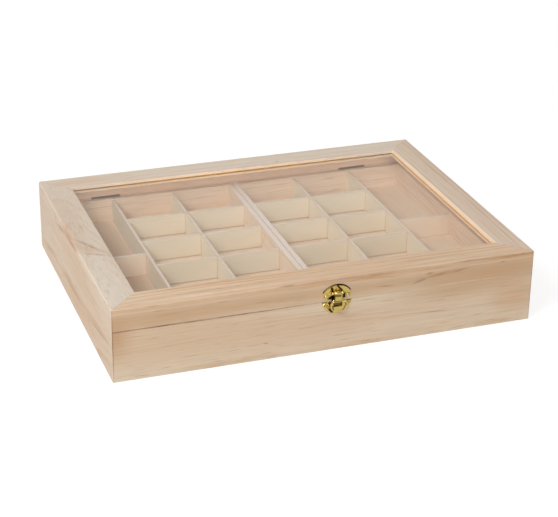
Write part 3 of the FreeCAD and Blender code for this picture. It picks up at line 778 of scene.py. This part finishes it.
RAIL_FRONT_MARKS = (
    ("amber", 0.45, "front", 60, 67.0, 700, 6.0, 0),
    ("dark", 0.80, FRONT_ARRIS, -40, 69.4, 14, 1.0, 0),
    ("amber", 0.90, FRONT_ARRIS, -12, 69.3, 26, 1.2, 0),
    ("dark", 0.75, FRONT_ARRIS, 18, 69.3, 20, 1.0, 0),
    ("amber", 0.70, FRONT_ARRIS, 45, 68.2, 30, 2.2, 0),
    ("amber", 0.50, "front", 95, 67.0, 26, 1.8, 0),
    ("dark", 0.75, FRONT_ARRIS, 134, 69.3, 14, 0.9, 0),
    ("dark", 0.85, FRONT_ARRIS, 190, 68.4, 20, 1.6, 0),
    ("amber", 0.95, FRONT_ARRIS, 172, 68.2, 36, 2.4, 0),
    ("umber", 1.10, FRONT_ARRIS, 30, 69.2, 100, 1.0, 0),
    ("umber", 1.20, FRONT_ARRIS, 150, 69.0, 70, 1.1, 0),
    CORNER_LEFT,
    CORNER_RIGHT,
    *mitres(-1),
    ("dark", 0.55, FRONT_ARRIS, -164, 68.8, 11, 0.8, 0),
    ("amber", 0.24, "top", -100, -126.0, 110, 4.0, 0),
    ("fresh", 0.40, "top", -100, -132.5, 110, 1.8, 0),
    ("umber", 0.75, "top", -100, -137.3, 110, 2.0, 0.5),
    ("fresh", 0.45, "top", -100, -143.5, 115, 3.0, 0),
    ("umber", 0.80, "top", 90, -128.5, 90, 1.2, 0.5),
    ("umber", 0.80, "top", 90, -137.0, 100, 1.2, 0.5),
    ("umber", 0.80, "top", 100, -144.5, 90, 1.2, 0),
)
SIDE_SKIN = ("side", -200, 6)
SIDE_MARKS = (
    ("amber", 0.36, "side", 102, 16, 46, 6.0, -10),
    ("amber", 0.36, "side", 13, 22, 66, 6.0, 1),
    ("amber", 0.36, "side", -94, 27, 66, 6.0, -5),
    ("umber", 1.10, "side", -2, 18, 58, 1.5, -1.6),
    ("umber", 1.10, "side", -98, 25.6, 54, 1.6, -8),
    ("umber", 1.00, SIDE_SKIN, 71, 64.5, 8, 2.2, 48),
    ("umber", 1.10, SIDE_SKIN, 48, 62, 24, 2.4, -6),
    ("umber", 1.00, SIDE_SKIN, 0, 66.8, 40, 2.0, -5.6),
    ("dark", 1.00, ("side", -200, 3), -128, 68, 2.4, 1.3, 0),
)
RAIL_LEFT_MARKS = (
    ("blush", 0.30, ("side", -200, 2), 0, 66, 600, 40, 0),
    ("amber", 0.28, "top", -192, -22, 27, 9.0, -58),
    ("umber", 1.10, "top", -186, -17.8, 34, 3.6, -61),
    ("umber", 0.80, "top", -186, -36, 18, 3.0, -29),
    ("amber", 0.70, "top", -199.6, 12, 1.6, 45, 0),
    ("umber", 0.40, "top", -185, 26, 11, 1.4, -86),
    *SIDE_MARKS[5:],
)
BOARDS = {
    "front_wall": dict(
        along="x", pith_mm=(0, -92, -32), tilt_deg=(0.4, -0.5), seed=3.1,
        early=(0.695, 0.570, 0.420), tint=(0.655, 0.475, 0.325), contrast=0.55, dash=0.65,
        marks=LID_MARKS + BASE_MARKS,
        swirls=(("front", 110, 60, 44, 11, 6, 5.0), ("front", -61, 16, 34, 8, 0, 4.0)),
    ),
    "back_wall": dict(
        along="x", pith_mm=(0, 96, 120), tilt_deg=(-0.5, 0.6), seed=11.7,
        # Painted light: the wall's inner face, in shade under the rail, is painted brighter and
        # pinker
        marks=(("rosy_painted_light", 1.8, ("front", 138, 7), 0, 40, 400, 90, 0),),
    ),
    "left_wall": dict(
        along="y", pith_mm=(-120, 0, -10), tilt_deg=(0.0, 4.0), seed=21.3,
        early=(0.720, 0.590, 0.455), tint=(0.680, 0.495, 0.350), marks=SIDE_MARKS,
    ),
    "right_wall": dict(
        along="y", pith_mm=(130, 0, 90), tilt_deg=(0.6, -0.8), seed=33.9,
        # Painted light: the wall's inner face, in shade under the rail, is painted brighter and
        # pinker
        marks=(("rosy_painted_light", 1.8, ("side", 189, 7), 0, 40, 400, 90, 0),),
    ),
    "frame_front_rail": dict(
        along="x", pith_mm=(0, -255, 40), tilt_deg=(0.25, 0.2), seed=41.2, pitch=3.4,
        contrast=1.6, marks=RAIL_FRONT_MARKS,
    ),
    "frame_back_rail": dict(
        along="x", pith_mm=(0, 260, 30), tilt_deg=(-0.3, 0.2), seed=52.6, pitch=4.5,
        early=(0.675, 0.585, 0.485), tint=(0.680, 0.580, 0.475), contrast=1.5,
        marks=(
            ("tan", 0.30, "top", -165, 138, 85, 16, 0),
            *rail_edge(0, 121.9, 3.9, 1.0),
            *mitres(1),
            ("dark", 0.9, "top", 45.7, 129.8, 3.0, 1.3, 0),
            ("dark", 0.6, "top", -19.7, 123.0, 2.6, 1.0, 0),
        ),
    ),
    "frame_left_rail": dict(
        along="y", pith_mm=(-189, 20, 40), tilt_deg=(0.8, 6.0), seed=63.4,
        early=(0.655, 0.575, 0.480), tint=(0.600, 0.480, 0.375), contrast=0.45,
        marks=(*RAIL_LEFT_MARKS, *mitres(-1), *mitres(1)),
    ),
    "frame_right_rail": dict(
        along="y", pith_mm=(300, 0, 50), tilt_deg=(0.3, 0.2), seed=74.8, pitch=3.6,
        early=(0.700, 0.590, 0.470), tint=(0.620, 0.490, 0.380), contrast=1.3,
        marks=(
            *rail_edge(171.9, 0, 4.6, 1.7),
            *mitres(-1),
            *mitres(1),
            ("dark", 0.45, "top", 197.0, 0, 0.5, 200, 0),
            ("dark", 0.30, "top", 176.0, 0, 0.6, 200, 0),
        ),
    ),
}
# Tray pieces: looks by slot or by part of the name. A later one takes the place of an earlier.
TRAY_LOOKS = {
    "tray_pine": dict(early=(0.78, 0.60, 0.45), tint=(0.74, 0.53, 0.37), contrast=1.0),
    "inner_wall": dict(early=(0.82, 0.66, 0.52), tint=(0.79, 0.62, 0.48)),
    "end_divider": dict(early=(0.83, 0.66, 0.50), tint=(0.80, 0.62, 0.45)),
    "tray_left_floor": dict(marks=(("tan", 1.3, "top", -157, 20, 42, 200, 0),)),
    "tray_right_floor": dict(marks=(("fresh", 0.9, "top", 157, -105, 50, 75, 0),)),
}
WHOLE_FACE = (400, 400, 0)


def tray_marks(name, low, high, crossing):
    """Sawn top, painted shade in a line at the foot and, if it crosses other dividers, painted
    shade in a line at each crossing.
    """
    across = (low + high) / 2
    tone = "sawn" if "divider" in name else "pale"
    lines = [(tone, 1.0, ("top", high.z, 1.2), across.x, across.y),
             ("amber", 0.6, ("top", low.z, 1.0), across.x, across.y)]
    side = name.split("_")[1]
    for other in sorted(nodes):
        if crossing and side in other and ("long_divider" in other or "inner_wall" in other):
            lines += [("amber", 0.6, ("side", corner.x / MM, 1.0), across.y, across.z)
                      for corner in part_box(other)]
    return tuple((*line, *WHOLE_FACE) for line in lines)


def board_material(name, slot):
    """The material of one piece of wood. Base and lid walls on one side come from one board."""
    for key, board in BOARDS.items():
        if name.endswith(key) and not name.startswith("tray"):
            made = bpy.data.materials.get("wood_" + key)
            return made or wood("wood_" + key, SLOT_WOOD[slot], **board)
    low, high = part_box(name)
    size = high - low
    along = "xyz"[max(range(3), key=lambda i: size[i])]
    pith = [c + draw.uniform(-60, 60) for c in (low + high) / 2 / MM]
    changes = {}
    for key, look in TRAY_LOOKS.items():
        if key == slot or key in name:
            changes = dict(look)
    if "divider" in name or "inner_wall" in name:
        crossing = "divider" in name and along == "x"
        changes["marks"] = tray_marks(name, low / MM, high / MM, crossing)
    tilt = (draw.uniform(-1.5, 1.5), draw.uniform(-1.5, 1.5))
    return wood("wood_" + name, SLOT_WOOD[slot], along, pith, tilt, draw.uniform(0, 90), **changes)


draw = random.Random(7)
panes = clear_glass("glass_clear")
metals = {
    "clasp_brass": brass("brass_bright", (0.83, 0.60, 0.20), 0.16, 3.0),
    "hinge_brass": brass("brass_dull", (0.50, 0.34, 0.17), 0.45, 5.0),
    "hinge_screws": brass("brass_screw", (0.70, 0.52, 0.22), 0.25, 8.0),
}
# The last colour is the painted shade and dark reflection in the clasp's hollows
stamped = brass("brass_stamped", (0.82, 0.61, 0.19), 0.14, 3.0, (0.022, 0.011, 0.006))
slots = {name: node.data.materials[0].name.split(".")[0] for name, node in nodes.items()}
for name in sorted(nodes):
    slot = slots[name]
    if slot == "glass":
        dress(nodes[name], panes)
    elif slot in metals:
        dress(nodes[name], metals[slot])
    else:
        dress(nodes[name], board_material(name, slot))

clasp_piece("clasp_fan", "clasp_upper_plate", "lid", build_fan)
clasp_piece("clasp_shell", "clasp_lower_plate", "base", build_shell)
clasp_piece("clasp_strap", "clasp_hasp", "hasp", build_strap)

bpy.context.view_layer.update()
